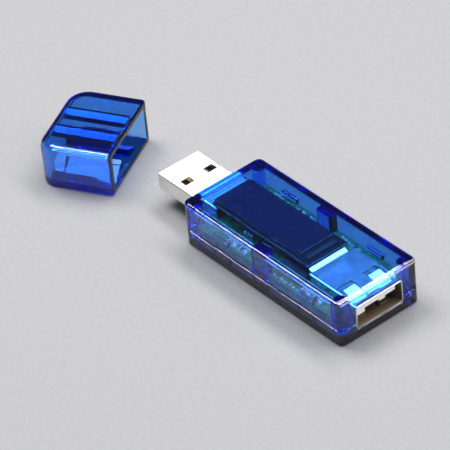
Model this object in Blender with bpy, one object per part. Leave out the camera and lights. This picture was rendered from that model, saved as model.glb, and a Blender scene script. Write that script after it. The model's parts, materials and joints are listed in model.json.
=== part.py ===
"""USB power meter: a clear blue casing with a plug, a socket, a board and a display, and its cap.

The frame: metres, +Z up, the origin at the middle of the casing's flat underside. The plug
points along -X and the socket opens along +X. The cap lies beside the plug, pulled off.
"""

import math

import bmesh
import bpy
from mathutils import Matrix
from mathutils import Vector

MM = 0.001

# Clearances
seat_gap = 0.3 * MM
solder_gap = 0.15 * MM

# Casing
case_length = 51.5 * MM
case_width = 22.2 * MM
case_height = 11.4 * MM
seam_height = 4.1 * MM
side_wall = 1.3 * MM
end_wall = 1.5 * MM
roof_thickness = 1.4 * MM
floor_thickness = 1.3 * MM
corner_radius = 1.5 * MM
edge_fillet = 0.5 * MM

# Corner bosses and middle pillars that join the two halves of the casing
boss_radius = 1.5 * MM
boss_inset = 2.2 * MM
pillar_length = 4.8 * MM
pillar_depth = 2.0 * MM
pillar_radius = 0.6 * MM
pillar_offset = -1.0 * MM
peg_radius = 0.8 * MM
peg_length = 2.0 * MM
ledge_length = 5.0 * MM
ledge_depth = 1.0 * MM
ledge_rise = 1.8 * MM
ledge_spacing = 27.8 * MM
cradle_rib_thickness = 1.0 * MM

# Plug
plug_width = 12.0 * MM
plug_height = 4.5 * MM
plug_exposed = 15.0 * MM
plug_inside = 5.2 * MM
plug_centre_height = 6.0 * MM
plug_sheet = 0.3 * MM
plug_corner = 0.6 * MM
window_length = 2.0 * MM
window_width = 2.5 * MM
window_from_tip = 7.0 * MM
window_spacing = 6.5 * MM
plug_tongue_recess = 0.8 * MM
plug_block_length = 3.0 * MM
plug_contact_recess = 0.5 * MM
contact_tail = 1.6 * MM

# Socket
socket_width = 13.2 * MM
socket_height = 5.7 * MM
socket_length = 14.8 * MM
socket_centre_height = 5.4 * MM
socket_sheet = 0.3 * MM
socket_corner = 0.5 * MM
socket_lip_inset = 0.1 * MM
socket_block_length = 5.0 * MM
socket_tongue_width = 11.1 * MM
socket_tongue_thickness = 1.8 * MM
socket_tongue_recess = 1.2 * MM
socket_tongue_clearance = 0.45 * MM
socket_contact_recess = 1.0 * MM
spring_tab_spacing = 6.4 * MM
spring_tab_width = 2.6 * MM
spring_tab_length = 4.4 * MM
spring_tab_from_mouth = 3.4 * MM
spring_slot = 0.5 * MM

# Contacts, the same pitch in the plug and in the socket
contact_places = (-3.5 * MM, -1.0 * MM, 1.0 * MM, 3.5 * MM)
contact_width = 1.0 * MM
contact_thickness = 0.2 * MM

# Circuit board
board_thickness = 1.6 * MM
board_top = 5.9 * MM

# Display
display_length = 31.8 * MM
display_width = 11.5 * MM
display_from_plug_end = 3.6 * MM
backplate_thickness = 0.5 * MM
front_glass_length = 27.8 * MM
front_glass_width = 9.9 * MM
front_glass_thickness = 0.4 * MM
driver_chip_length = 1.2 * MM
driver_chip_width = 8.0 * MM
driver_chip_thickness = 0.3 * MM
flex_thickness = 0.2 * MM
flex_width = 5.6 * MM
flex_offset = 1.5 * MM
flex_bend = 1.1 * MM
flex_setback = 0.6 * MM
flex_upper_reach = 1.2 * MM
flex_lower_reach = 3.6 * MM
foam_start = 3.5 * MM
foam_length = 21.0 * MM
foam_width = 6.2 * MM
foam_offset = 1.5 * MM

# Parts on the board
controller_length = 8.65 * MM
controller_width = 3.9 * MM
controller_height = 1.4 * MM
controller_place = (6.15 * MM, -5.65 * MM)
controller_leg_pitch = 1.27 * MM
controller_leg_count = 7
regulator_length = 2.9 * MM
regulator_width = 1.6 * MM
regulator_height = 1.1 * MM
regulator_place = (-10.5 * MM, -4.4 * MM)
regulator_leg_pitch = 0.95 * MM
regulator_near_legs = 3
regulator_far_legs = 2
leg_reach = 1.0 * MM
leg_width = 0.42 * MM
leg_thickness = 0.2 * MM
crystal_size = (3.2 * MM, 2.5 * MM, 0.8 * MM)
crystal_place = (-4.6 * MM, -4.2 * MM)
shunt_size = (6.3 * MM, 3.2 * MM, 0.6 * MM)
shunt_place = (-5.0 * MM, 0.0 * MM)
edge_row_inset = 1.55 * MM
near_side = -1
far_side = 1
diode_size = (1.9 * MM, 0.8 * MM, 0.7 * MM)
diode_place = (15.6 * MM, near_side)
capacitor_size = (1.6 * MM, 0.8 * MM, 0.8 * MM)
capacitor_places = (
    (-12.2 * MM, near_side),
    (-16.4 * MM, far_side),
    (5.6 * MM, far_side),
    (11.9 * MM, near_side),
)
resistor_size = (1.6 * MM, 0.8 * MM, 0.45 * MM)
resistor_places = (
    (-8.6 * MM, near_side),
    (-8.8 * MM, far_side),
    (-6.2 * MM, far_side),
    (9.2 * MM, far_side),
)

# Cap
cap_length = 18.2 * MM
cap_wall = 1.4 * MM
cap_closed_radius = 4.2 * MM
cap_nose_radius = 2.6 * MM
cap_mouth_radius = 0.8 * MM
cap_fillet = 0.7 * MM
cap_room_fillet = 0.2 * MM
cap_rib_spacing = 7.2 * MM
cap_rib_width = 2.8 * MM
cap_rib_from_mouth = 2.2 * MM
cap_rest_turn = math.radians(29.35)
cap_rest_gap = 29.64 * MM
cap_rest_offset = -2.45 * MM

# Facets
corner_steps = 6
fillet_steps = 3
small_steps = 3
round_sides = 16

# What follows from the sizes above
plug_end = -case_length / 2
port_end = case_length / 2
half_width = case_width / 2
roof_under = case_height - roof_thickness
board_bottom = board_top - board_thickness
board_half_width = half_width - side_wall - seat_gap
edge_row = board_half_width - edge_row_inset
plug_tip = plug_end - plug_exposed
plug_back = plug_end + plug_inside
plug_top = plug_centre_height + plug_height / 2
plug_under = plug_centre_height - plug_height / 2
socket_mouth = port_end - socket_lip_inset
socket_back = socket_mouth - socket_length
socket_top = socket_centre_height + socket_height / 2
socket_under = socket_centre_height - socket_height / 2
front_glass_top = roof_under - seat_gap
backplate_top = front_glass_top - front_glass_thickness - solder_gap
backplate_under = backplate_top - backplate_thickness
upper_rim = seam_height + seat_gap / 2
lower_rim = seam_height - seat_gap / 2
inner_half_width = half_width - side_wall
boss_x = case_length / 2 - boss_inset
boss_y = half_width - boss_inset
display_start = plug_end + display_from_plug_end
display_end = display_start + display_length
overlap = 0.4 * MM
cut_margin = 1.0 * MM

# Colours: base colour, roughness, metallic
blue_plastic = ("blue_plastic", (0.02, 0.10, 0.75), 0.15, 0.0)
plated_steel = ("plated_steel", (0.78, 0.77, 0.74), 0.28, 1.0)
white_plastic = ("white_plastic", (0.85, 0.84, 0.80), 0.45, 0.0)
black_plastic = ("black_plastic", (0.02, 0.02, 0.022), 0.45, 0.0)
gold_plating = ("gold_plating", (0.86, 0.62, 0.26), 0.25, 1.0)
green_laminate = ("green_laminate", (0.02, 0.28, 0.16), 0.40, 0.0)
display_navy = ("display_navy", (0.01, 0.02, 0.12), 0.12, 0.0)
display_black = ("display_black", (0.01, 0.01, 0.015), 0.30, 0.0)
black_foam = ("black_foam", (0.03, 0.03, 0.03), 0.90, 0.0)
amber_film = ("amber_film", (0.50, 0.26, 0.05), 0.35, 0.0)
chip_black = ("chip_black", (0.03, 0.03, 0.032), 0.55, 0.0)
tan_ceramic = ("tan_ceramic", (0.52, 0.40, 0.26), 0.50, 0.0)


def clear_scene():
    """Remove every object that the file opened with."""
    for obj in list(bpy.data.objects):
        bpy.data.objects.remove(obj, do_unlink=True)


def material(finish):
    """Return the finish as a material, made once and shared."""
    name, colour, roughness, metallic = finish
    found = bpy.data.materials.get(name)
    if found:
        return found
    made = bpy.data.materials.new(name)
    made.use_nodes = True
    shader = made.node_tree.nodes["Principled BSDF"]
    shader.inputs["Base Color"].default_value = (*colour, 1.0)
    shader.inputs["Roughness"].default_value = roughness
    shader.inputs["Metallic"].default_value = metallic
    made.diffuse_color = (*colour, 1.0)
    return made


def rounded_outline(u0, u1, v0, v1, radii, steps):
    """Points round a rectangle, anticlockwise from its low-low corner, each corner an arc."""
    corners = (
        (u0, v0, 1, 1, math.pi),
        (u1, v0, -1, 1, 1.5 * math.pi),
        (u1, v1, -1, -1, 0.0),
        (u0, v1, 1, -1, 0.5 * math.pi),
    )
    points = []
    for (u, v, inward_u, inward_v, start), radius in zip(corners, radii):
        centre = (u + inward_u * radius, v + inward_v * radius)
        for step in range(steps + 1):
            angle = start + 0.5 * math.pi * step / steps
            points.append((centre[0] + radius * math.cos(angle), centre[1] + radius * math.sin(angle)))
    return points


def lofted(rings):
    """A closed shape through rings of equally many points, with a flat face at each end."""
    count = len(rings[0])
    points = [point for ring in rings for point in ring]
    faces = []
    for level in range(len(rings) - 1):
        low = level * count
        high = low + count
        for i in range(count):
            j = (i + 1) % count
            faces.append((low + i, low + j, high + j, high + i))
    faces.append(tuple(reversed(range(count))))
    faces.append(tuple(range(len(points) - count, len(points))))
    return points, faces


def fillet_levels(z0, z1, bottom_fillet, top_fillet):
    """Heights from z0 to z1, each with how far the outline is drawn in there by the fillets."""
    levels = []
    for step in range(fillet_steps + 1):
        angle = 0.5 * math.pi * step / fillet_steps
        inset = bottom_fillet * (1 - math.sin(angle))
        levels.append((z0 + bottom_fillet * (1 - math.cos(angle)), inset))
        if not bottom_fillet:
            break
    for step in range(fillet_steps + 1):
        angle = 0.5 * math.pi * step / fillet_steps
        levels.append((z1 - top_fillet * (1 - math.sin(angle)), top_fillet * (1 - math.cos(angle))))
        if not top_fillet:
            break
    return levels


def upright_block(x0, x1, y0, y1, z0, z1, radii, top_fillet=0.0, bottom_fillet=0.0):
    """A block whose upright edges are round, with a fillet round its top and bottom face."""
    rings = []
    for height, inset in fillet_levels(z0, z1, bottom_fillet, top_fillet):
        inset_radii = [radius - inset for radius in radii]
        edges = (x0 + inset, x1 - inset, y0 + inset, y1 - inset)
        outline = rounded_outline(*edges, inset_radii, corner_steps)
        rings.append([Vector((x, y, height)) for x, y in outline])
    return lofted(rings)


def lying_bar(x0, x1, y0, y1, z0, z1, radius):
    """A bar along X whose section is a rounded rectangle."""
    outline = rounded_outline(y0, y1, z0, z1, [radius] * 4, small_steps)
    return lofted([[Vector((x, y, z)) for y, z in outline] for x in (x0, x1)])


def block(x0, x1, y0, y1, z0, z1):
    """A plain block."""
    outline = ((x0, y0), (x1, y0), (x1, y1), (x0, y1))
    return lofted([[Vector((x, y, z)) for x, y in outline] for z in (z0, z1)])


def upright_rod(x, y, radius, z0, z1):
    """A round rod along Z."""
    rings = []
    for z in (z0, z1):
        ring = []
        for side in range(round_sides):
            angle = 2 * math.pi * side / round_sides
            ring.append(Vector((x + radius * math.cos(angle), y + radius * math.sin(angle), z)))
        rings.append(ring)
    return lofted(rings)


def side_profile(points, y0, y1):
    """A plate of the outline (x, z) given by points, carried from y0 to y1."""
    return lofted([[Vector((x, y, z)) for x, z in points] for y in (y0, y1)])


def new_object(name, shapes, finish):
    """An object that holds the given closed shapes, with its faces turned outwards."""
    mesh = bpy.data.meshes.new(name)
    points = []
    faces = []
    for shape_points, shape_faces in shapes:
        start = len(points)
        points.extend(shape_points)
        faces.extend(tuple(start + index for index in face) for face in shape_faces)
    mesh.from_pydata(points, [], faces)
    working = bmesh.new()
    working.from_mesh(mesh)
    bmesh.ops.recalc_face_normals(working, faces=working.faces)
    working.to_mesh(mesh)
    working.free()
    mesh.shade_smooth()
    mesh.set_sharp_from_angle(angle=math.radians(30))
    mesh.materials.append(material(finish))
    obj = bpy.data.objects.new(name, mesh)
    bpy.context.collection.objects.link(obj)
    return obj


def reshape(obj, operation, label, shapes, finish):
    """Add shapes to an object (UNION) or cut them out of it (DIFFERENCE)."""
    tool = new_object(obj.name + "_" + label, shapes, finish)
    tool.hide_render = True
    tool.display_type = "WIRE"
    modifier = obj.modifiers.new(label, "BOOLEAN")
    modifier.operation = operation
    modifier.solver = "EXACT"
    modifier.object = tool
    return tool


def boss_rods(radius, z0, z1):
    """A rod at each of the four corner bosses."""
    return [upright_rod(sx * boss_x, sy * boss_y, radius, z0, z1) for sx in (-1, 1) for sy in (-1, 1)]


def pillars(z0, z1):
    """The two pillars at the middle of the long walls."""
    inner = inner_half_width - pillar_depth
    outer = inner_half_width + overlap
    x0 = pillar_offset - pillar_length / 2
    x1 = pillar_offset + pillar_length / 2
    radii = [pillar_radius] * 4
    near = upright_block(x0, x1, -outer, -inner, z0, z1, radii)
    far = upright_block(x0, x1, inner, outer, z0, z1, radii)
    return [near, far]


def ledges(depth, z0, z1):
    """The four ledges on the long walls, above or below the board."""
    shapes = []
    for sx in (-1, 1):
        x0 = sx * ledge_spacing / 2 - ledge_length / 2
        for sy in (-1, 1):
            y_pair = sorted((sy * (inner_half_width - depth), sy * (inner_half_width + overlap)))
            shapes.append(block(x0, x0 + ledge_length, *y_pair, z0, z1))
    return shapes


def end_openings(z_plug, z_socket):
    """The openings in the two end walls, with each one's lower and upper edge."""
    plug_side = plug_width / 2 + seat_gap
    socket_side = socket_width / 2 + seat_gap
    depth = end_wall + overlap / 2
    plug_cut = block(plug_end - cut_margin, plug_end + depth, -plug_side, plug_side, *z_plug)
    socket_cut = block(port_end - depth, port_end + cut_margin, -socket_side, socket_side, *z_socket)
    return [plug_cut, socket_cut]


def casing_cavity(z0, z1):
    """The room inside the casing."""
    inner_radius = corner_radius - side_wall
    return upright_block(plug_end + end_wall, port_end - end_wall, -inner_half_width, inner_half_width,
                         z0, z1, [inner_radius] * 4)


def make_top_shell():
    """The upper half of the casing, with bosses, pegs, pillars and the ledges over the board."""
    outside = upright_block(plug_end, port_end, -half_width, half_width, upper_rim, case_height,
                            [corner_radius] * 4, top_fillet=edge_fillet)
    shell = new_object("top_shell", [outside], blue_plastic)
    cavity = casing_cavity(upper_rim - cut_margin, roof_under)
    reshape(shell, "DIFFERENCE", "cavity", [cavity], blue_plastic)
    head = roof_under + overlap
    posts = boss_rods(boss_radius, upper_rim, head) + pillars(upper_rim, head)
    reshape(shell, "UNION", "posts", posts, blue_plastic)
    pegs = boss_rods(peg_radius, seam_height - peg_length, upper_rim + overlap)
    reshape(shell, "UNION", "pegs", pegs, blue_plastic)
    ledge_low = board_top + seat_gap
    board_ledges = ledges(ledge_depth, ledge_low, ledge_low + ledge_rise)
    reshape(shell, "UNION", "ledges", board_ledges, blue_plastic)
    cuts = end_openings((upper_rim - cut_margin, plug_top + seat_gap),
                        (upper_rim - cut_margin, socket_top + seat_gap))
    reshape(shell, "DIFFERENCE", "openings", cuts, blue_plastic)


def make_bottom_shell():
    """The lower half of the casing, with peg sockets, board rests and cradles for both connectors."""
    outside = upright_block(plug_end, port_end, -half_width, half_width, 0.0, lower_rim,
                            [corner_radius] * 4, bottom_fillet=edge_fillet)
    shell = new_object("bottom_shell", [outside], blue_plastic)
    cavity = casing_cavity(floor_thickness, lower_rim + cut_margin)
    reshape(shell, "DIFFERENCE", "cavity", [cavity], blue_plastic)
    foot = floor_thickness - overlap
    posts = boss_rods(boss_radius, foot, lower_rim) + pillars(foot, lower_rim)
    reshape(shell, "UNION", "posts", posts, blue_plastic)
    rests = ledges(ledge_depth, foot, board_bottom - seat_gap)
    reshape(shell, "UNION", "rests", rests, blue_plastic)
    cradles = []
    for x, half_span, top in (
        (socket_back + socket_block_length / 2, socket_tongue_width / 2, socket_under - seat_gap),
        (socket_mouth - socket_block_length / 2, socket_tongue_width / 2, socket_under - seat_gap),
        (plug_back - plug_block_length / 2, plug_width / 3, plug_under - seat_gap),
    ):
        half = cradle_rib_thickness / 2
        cradles.append(block(x - half, x + half, -half_span, half_span, foot, top))
    reshape(shell, "UNION", "cradles", cradles, blue_plastic)
    peg_foot = seam_height - peg_length - seat_gap
    peg_holes = boss_rods(peg_radius + seat_gap, peg_foot, lower_rim + cut_margin)
    reshape(shell, "DIFFERENCE", "peg_holes", peg_holes, blue_plastic)
    cuts = end_openings((plug_under - seat_gap, lower_rim + cut_margin),
                        (socket_under - seat_gap, lower_rim + cut_margin))
    reshape(shell, "DIFFERENCE", "openings", cuts, blue_plastic)


def make_plug():
    """The plug: a folded steel shell with four windows, a plastic tongue and four contacts."""
    half = plug_width / 2
    outside = lying_bar(plug_tip, plug_back, -half, half, plug_under, plug_top, plug_corner)
    shell = new_object("plug_shell", [outside], plated_steel)
    inner_half = half - plug_sheet
    inner_under = plug_under + plug_sheet
    inner_top = plug_top - plug_sheet
    bore = lying_bar(plug_tip - cut_margin, plug_back + cut_margin, -inner_half, inner_half,
                     inner_under, inner_top, plug_corner - plug_sheet)
    reshape(shell, "DIFFERENCE", "bore", [bore], plated_steel)
    window_x = plug_tip + window_from_tip
    windows = []
    for side in (-1, 1):
        y0 = side * window_spacing / 2 - window_width / 2
        windows.append(block(window_x - window_length / 2, window_x + window_length / 2,
                             y0, y0 + window_width, plug_under - cut_margin, plug_top + cut_margin))
    reshape(shell, "DIFFERENCE", "windows", windows, plated_steel)

    tongue_half = inner_half - seat_gap
    tongue_under = inner_under + seat_gap
    tongue_top = board_top
    block_start = plug_back - plug_block_length
    tongue = new_object("plug_insulator", [block(plug_tip + plug_tongue_recess, plug_back,
                                                 -tongue_half, tongue_half, tongue_under, tongue_top)],
                        black_plastic)
    back_block = block(block_start, plug_back, -tongue_half, tongue_half, tongue_under, inner_top - seat_gap)
    reshape(tongue, "UNION", "back_block", [back_block], black_plastic)
    contact_under = tongue_top + solder_gap
    contact_top = contact_under + contact_thickness
    contact_half = contact_width / 2
    channels = []
    for y in contact_places:
        channels.append(block(block_start - overlap, plug_back + cut_margin, y - contact_half - solder_gap,
                              y + contact_half + solder_gap, tongue_top, contact_top + solder_gap))
    reshape(tongue, "DIFFERENCE", "channels", channels, black_plastic)
    contact_start = plug_tip + plug_tongue_recess + plug_contact_recess
    for number, y in enumerate(contact_places, start=1):
        strip = block(contact_start, plug_back + contact_tail, y - contact_half, y + contact_half,
                      contact_under, contact_top)
        new_object("plug_contact_%d" % number, [strip], gold_plating)


def spring_tab_cuts():
    """The slots that free the two spring tabs in the top and in the underside of the socket."""
    front = socket_mouth - spring_tab_from_mouth
    back = front - spring_tab_length
    cuts = []
    for side in (-1, 1):
        middle = side * spring_tab_spacing / 2
        low = middle - spring_tab_width / 2 - spring_slot
        high = middle + spring_tab_width / 2 + spring_slot
        slots = (
            (back, front, low, low + spring_slot),
            (back, front, high - spring_slot, high),
            (back, back + spring_slot, low, high),
        )
        cuts.append([block(x0, x1, y0, y1, socket_under - cut_margin, socket_top + cut_margin)
                     for x0, x1, y0, y1 in slots])
    return cuts


def make_socket():
    """The socket: a folded steel shell with spring tabs, a plastic tongue and four contacts."""
    half = socket_width / 2
    outside = lying_bar(socket_back, socket_mouth, -half, half, socket_under, socket_top, socket_corner)
    shell = new_object("socket_shell", [outside], plated_steel)
    inner_half = half - socket_sheet
    inner_under = socket_under + socket_sheet
    inner_top = socket_top - socket_sheet
    bore = lying_bar(socket_back - cut_margin, socket_mouth + cut_margin, -inner_half, inner_half,
                     inner_under, inner_top, socket_corner - socket_sheet)
    reshape(shell, "DIFFERENCE", "bore", [bore], plated_steel)
    for side, slots in zip(("near", "far"), spring_tab_cuts()):
        for number, slot in enumerate(slots, start=1):
            reshape(shell, "DIFFERENCE", "%s_slot_%d" % (side, number), [slot], plated_steel)

    block_half = inner_half - seat_gap
    block_end = socket_back + socket_block_length
    back_block = block(socket_back, block_end, -block_half, block_half,
                       inner_under + seat_gap, inner_top - seat_gap)
    housing = new_object("socket_insulator", [back_block], white_plastic)
    tongue_top = inner_top - socket_tongue_clearance
    tongue_under = tongue_top - socket_tongue_thickness
    tongue_half = socket_tongue_width / 2
    tongue = block(block_end - overlap, socket_mouth - socket_tongue_recess, -tongue_half, tongue_half,
                   tongue_under, tongue_top)
    reshape(housing, "UNION", "tongue", [tongue], white_plastic)
    contact_top = tongue_under - solder_gap
    contact_under = contact_top - contact_thickness
    contact_half = contact_width / 2
    channels = []
    for y in contact_places:
        channels.append(block(socket_back - cut_margin, block_end + overlap, y - contact_half - solder_gap,
                              y + contact_half + solder_gap, contact_under - solder_gap, tongue_under))
    reshape(housing, "DIFFERENCE", "channels", channels, white_plastic)
    contact_end = socket_mouth - socket_tongue_recess - socket_contact_recess
    for number, y in enumerate(contact_places, start=1):
        strip = block(socket_back, contact_end, y - contact_half, y + contact_half,
                      contact_under, contact_top)
        new_object("socket_contact_%d" % number, [strip], gold_plating)


def make_circuit_board():
    """The board, notched for both connectors, the corner bosses and the pillars."""
    start = plug_end + boss_inset + boss_radius + seat_gap
    end = port_end - boss_inset - boss_radius - seat_gap
    plug_side = plug_width / 2 + seat_gap
    socket_side = socket_width / 2 + seat_gap
    pillar_side = inner_half_width - pillar_depth - seat_gap
    pillar_start = pillar_offset - pillar_length / 2 - seat_gap
    pillar_end = pillar_offset + pillar_length / 2 + seat_gap
    far_half = [
        (socket_back - seat_gap, socket_side),
        (end, socket_side),
        (end, board_half_width),
        (pillar_end, board_half_width),
        (pillar_end, pillar_side),
        (pillar_start, pillar_side),
        (pillar_start, board_half_width),
        (start, board_half_width),
        (start, plug_side),
        (plug_back + seat_gap, plug_side),
    ]
    near_half = [(x, -y) for x, y in reversed(far_half)]
    outline = far_half + near_half
    board = lofted([[Vector((x, y, z)) for x, y in outline] for z in (board_bottom, board_top)])
    new_object("circuit_board", [board], green_laminate)


def make_display():
    """The display: a back glass with a ledge, a front glass, its driver chip, flex and foam pad."""
    half = display_width / 2
    new_object("display_backplate", [block(display_start, display_end, -half, half,
                                           backplate_under, backplate_top)], display_black)
    front_under = backplate_top + solder_gap
    front_half = front_glass_width / 2
    front_end = display_start + front_glass_length
    new_object("display_front_glass", [block(display_start, front_end, -front_half, front_half,
                                             front_under, front_glass_top)], display_navy)
    chip_middle = (front_end + display_end) / 2
    chip_half = driver_chip_length / 2
    new_object("display_driver_chip", [block(chip_middle - chip_half, chip_middle + chip_half,
                                             -driver_chip_width / 2, driver_chip_width / 2, front_under,
                                             front_under + driver_chip_thickness)], display_black)
    foam_x = display_start + foam_start
    new_object("display_foam", [block(foam_x, foam_x + foam_length, foam_offset - foam_width / 2,
                                      foam_offset + foam_width / 2, board_top + seat_gap,
                                      backplate_under - seat_gap)], black_foam)
    new_object("display_flex", [flex_ribbon()], amber_film)


def flex_ribbon():
    """The flex, flat under the display's end, then bent down and back onto the board."""
    high = backplate_under - solder_gap - flex_thickness / 2
    low = board_top + solder_gap + flex_thickness / 2
    bend = min(flex_bend, (high - low) / 2)
    turn_x = display_end - flex_setback
    outer = []
    inner = []
    for middle, start in ((high - bend, math.pi / 2), (low + bend, 0.0)):
        for step in range(corner_steps + 1):
            angle = start - 0.5 * math.pi * step / corner_steps
            for path, radius in ((outer, bend + flex_thickness / 2), (inner, bend - flex_thickness / 2)):
                path.append((turn_x + radius * math.cos(angle), middle + radius * math.sin(angle)))
    for path in (outer, inner):
        path.insert(0, (turn_x - flex_upper_reach, path[0][1]))
        path.append((turn_x - flex_lower_reach, path[-1][1]))
    return side_profile(outer + inner[::-1], flex_offset - flex_width / 2, flex_offset + flex_width / 2)


def make_legged_chip(name, size, place, pitch, near_legs, far_legs):
    """A moulded chip on the board with bent legs along its two long sides, joined to its body."""
    length, width, height = size
    x, y = place
    under = board_top + solder_gap
    body = block(x - length / 2, x + length / 2, y - width / 2, y + width / 2,
                 under + leg_thickness, under + height)
    chip = new_object(name, [body], chip_black)
    legs = []
    knee = under + height / 2
    for side, count in ((-1, near_legs), (1, far_legs)):
        for leg in range(count):
            leg_x = x + (leg - (count - 1) / 2) * pitch
            edge = width / 2
            points = [
                (edge - overlap, knee + leg_thickness / 2),
                (edge + leg_reach * 0.45, knee + leg_thickness / 2),
                (edge + leg_reach * 0.45, under + leg_thickness),
                (edge + leg_reach, under + leg_thickness),
                (edge + leg_reach, under),
                (edge + leg_reach * 0.25, under),
                (edge + leg_reach * 0.25, knee - leg_thickness / 2),
                (edge - overlap, knee - leg_thickness / 2),
            ]
            rings = []
            for along in (leg_x - leg_width / 2, leg_x + leg_width / 2):
                rings.append([Vector((along, y + side * across, z)) for across, z in points])
            legs.append(lofted(rings))
    reshape(chip, "UNION", "legs", legs, plated_steel)


def make_plain_part(name, size, x, y, finish, under_board=False):
    """A plain block of a part, on the board's top or under it."""
    length, width, height = size
    z0 = board_bottom - solder_gap - height if under_board else board_top + solder_gap
    new_object(name, [block(x - length / 2, x + length / 2, y - width / 2, y + width / 2, z0, z0 + height)],
               finish)


def make_board_parts():
    """The measuring chip, its supply and its clock, the shunt, and the small parts in the edge rows."""
    make_legged_chip("controller_chip", (controller_length, controller_width, controller_height),
                     controller_place, controller_leg_pitch, controller_leg_count, controller_leg_count)
    make_legged_chip("voltage_regulator", (regulator_length, regulator_width, regulator_height),
                     regulator_place, regulator_leg_pitch, regulator_near_legs, regulator_far_legs)
    make_plain_part("crystal", crystal_size, *crystal_place, plated_steel)
    make_plain_part("shunt_resistor", shunt_size, *shunt_place, chip_black, under_board=True)
    make_plain_part("diode", diode_size, diode_place[0], diode_place[1] * edge_row, chip_black)
    for number, (x, side) in enumerate(capacitor_places, start=1):
        make_plain_part("capacitor_%d" % number, capacitor_size, x, side * edge_row, tan_ceramic)
    for number, (x, side) in enumerate(resistor_places, start=1):
        make_plain_part("resistor_%d" % number, resistor_size, x, side * edge_row, chip_black)


def cap_hinge():
    """The upright axis about which one turn takes the cap from where it lies onto the plug."""
    rest = Vector((plug_end - cap_rest_gap, cap_rest_offset))
    seated = Vector((plug_end - seat_gap, 0.0))
    turned = Matrix.Rotation(cap_rest_turn, 2) @ seated
    offset = rest - turned
    spread = 1 / math.tan(cap_rest_turn / 2)
    return Vector((0.5 * (offset.x - spread * offset.y), 0.5 * (spread * offset.x + offset.y), 0.0))


def nosed_block(x0, x1, y0, y1, z0, z1, radii, fillet, nose):
    """An upright block with fillets, whose low-X end also rounds over towards its top by the nose radius.

    The nose is never less than two fillets, so a small one still leaves the block's levels in order.
    """
    nose = max(nose, 2 * fillet)
    levels = fillet_levels(z0, z1 - nose, fillet, 0.0)
    start = z1 - nose
    stop = z1 - fillet
    for step in range(1, corner_steps):
        levels.append((start + (stop - start) * step / corner_steps, 0.0))
    levels += fillet_levels(stop - fillet, z1, 0.0, fillet)[1:]
    rings = []
    for height, inset in levels:
        rise = min(1.0, max(0.0, (height - start) / nose))
        draw = max(inset, nose * (1 - math.sqrt(1 - 0.96 * rise * rise)))
        inset_radii = [radius - inset for radius in radii]
        outline = rounded_outline(x0 + draw, x1 - inset, y0 + inset, y1 - inset, inset_radii, corner_steps)
        rings.append([Vector((x, y, height)) for x, y in outline])
    return lofted(rings)


def make_cap():
    """The cap: a cup over the plug, with two ribs above and two below that guide it on."""
    hinge = cap_hinge()
    mouth = plug_end - seat_gap
    closed = mouth - cap_length
    radii = [cap_closed_radius, cap_mouth_radius, cap_mouth_radius, cap_closed_radius]
    outside = nosed_block(closed, mouth, -half_width, half_width, 0.0, case_height, radii,
                          cap_fillet, cap_nose_radius)
    inner_half = half_width - cap_wall
    inner_corner = max(cap_closed_radius - cap_wall, 2 * cap_room_fillet)
    inner_radii = [inner_corner, cap_mouth_radius, cap_mouth_radius, inner_corner]
    room = nosed_block(closed + cap_wall, mouth + 2 * cap_mouth_radius, -inner_half, inner_half,
                       cap_wall, case_height - cap_wall, inner_radii, cap_room_fillet,
                       cap_nose_radius - cap_wall)
    ribs = []
    for side in (-1, 1):
        y0 = side * cap_rib_spacing / 2 - cap_rib_width / 2
        for z0, z1 in ((plug_top + seat_gap, case_height - cap_wall + overlap),
                       (cap_wall - overlap, plug_under - seat_gap)):
            ribs.append(block(closed + cap_wall - overlap, mouth - cap_rib_from_mouth,
                              y0, y0 + cap_rib_width, z0, z1))
    cap = new_object("cap", [outside], blue_plastic)
    tools = [
        reshape(cap, "DIFFERENCE", "room", [room], blue_plastic),
        reshape(cap, "UNION", "ribs", ribs, blue_plastic),
    ]
    for obj in [cap] + tools:
        obj.data.transform(Matrix.Translation(-hinge))
        obj.location = hinge
        obj.rotation_euler = (0.0, 0.0, cap_rest_turn)


clear_scene()
make_top_shell()
make_bottom_shell()
make_plug()
make_socket()
make_circuit_board()
make_display()
make_board_parts()
make_cap()
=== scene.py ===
import json
import math

import bmesh
import bpy
import numpy as np
from mathutils import Matrix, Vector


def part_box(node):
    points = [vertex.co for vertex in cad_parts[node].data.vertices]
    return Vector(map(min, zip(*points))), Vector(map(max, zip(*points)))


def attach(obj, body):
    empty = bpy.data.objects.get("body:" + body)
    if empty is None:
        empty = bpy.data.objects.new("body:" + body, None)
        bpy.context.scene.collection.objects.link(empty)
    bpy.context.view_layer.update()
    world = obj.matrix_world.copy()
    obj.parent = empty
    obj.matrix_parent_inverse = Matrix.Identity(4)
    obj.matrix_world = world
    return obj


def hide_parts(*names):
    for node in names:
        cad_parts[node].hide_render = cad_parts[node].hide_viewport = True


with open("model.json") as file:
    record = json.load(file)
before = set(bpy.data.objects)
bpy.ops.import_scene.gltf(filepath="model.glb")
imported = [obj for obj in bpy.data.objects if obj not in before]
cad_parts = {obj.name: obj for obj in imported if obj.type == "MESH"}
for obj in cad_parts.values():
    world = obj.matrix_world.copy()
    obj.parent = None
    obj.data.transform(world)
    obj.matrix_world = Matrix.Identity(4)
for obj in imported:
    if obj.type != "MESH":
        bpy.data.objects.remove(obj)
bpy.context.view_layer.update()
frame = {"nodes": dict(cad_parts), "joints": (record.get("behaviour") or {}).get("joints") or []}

# The studio: a plain pale table, seen from above the socket's near corner through a long lens. A broad
# soft box hangs overhead, strong ones up on the left and along the far side make the edges' white lines,
# a small one stands behind the socket's end and a weak one fills from the right.
mm = 0.001
view_centre = np.array([-18.066, -5.815, 6.0])
view_azimuth = math.radians(53.6005)
view_elevation = math.radians(37.89)
view_roll = math.radians(-5.9115)
view_distance = 760.11
view_lens = 280.0
sensor_width = 36.0
floor_half = 1500.0
floor_drop = 0.02


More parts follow.
